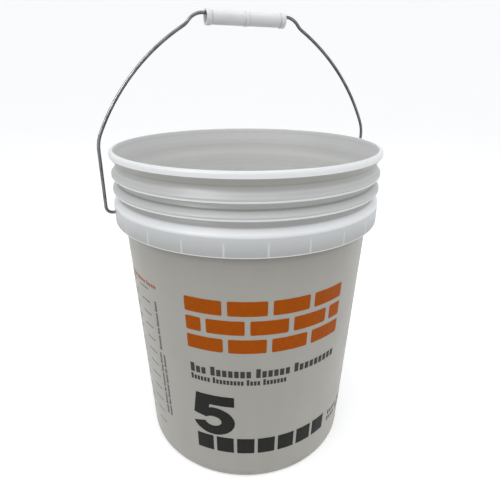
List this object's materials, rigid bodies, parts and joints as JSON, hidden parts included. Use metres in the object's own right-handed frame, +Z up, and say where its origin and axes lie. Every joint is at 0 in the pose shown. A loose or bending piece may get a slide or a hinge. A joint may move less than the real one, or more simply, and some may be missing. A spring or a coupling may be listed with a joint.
{
  "type": "mixing pail",
  "caption": "Open-head translucent plastic pail with a ringed rim, a hollow skirt, a hinged wire bail and a roller grip, for mixing and carrying mortar.",
  "frame": {"origin": "centre of the ring that the pail stands on", "axes": "+Z up along the pail's axis; X along the bail's hinge axis; the bail stands upright at rest"},
  "size_m": [0.3234, 0.302, 0.5028],
  "materials": {
    "pail_plastic": "translucent natural white, satin; grey where thin, white at free edges",
    "bail_steel": "drawn, lightly galvanised",
    "grip_plastic": "moulded, satin",
    "print_dark": "screen-printed ink",
    "print_orange": "screen-printed ink",
    "print_grey": "screen-printed ink"
  },
  "bodies": {
    "pail": {"pail_body": "pail_plastic"},
    "bail": {"bail_wire": "bail_steel"},
    "grip": {"bail_grip": "grip_plastic"}
  },
  "joints": [
    {"name": "bail_swing", "type": "hinge", "parent": "pail", "child": "bail", "pos_m": [0, 0, 0.3044], "axis": [1, 0, 0], "range_deg": [-130, 130]},
    {"name": "grip_spin", "type": "hinge", "parent": "bail", "child": "grip", "pos_m": [0, 0, 0.4951], "axis": [1, 0, 0], "continuous": true}
  ]
}
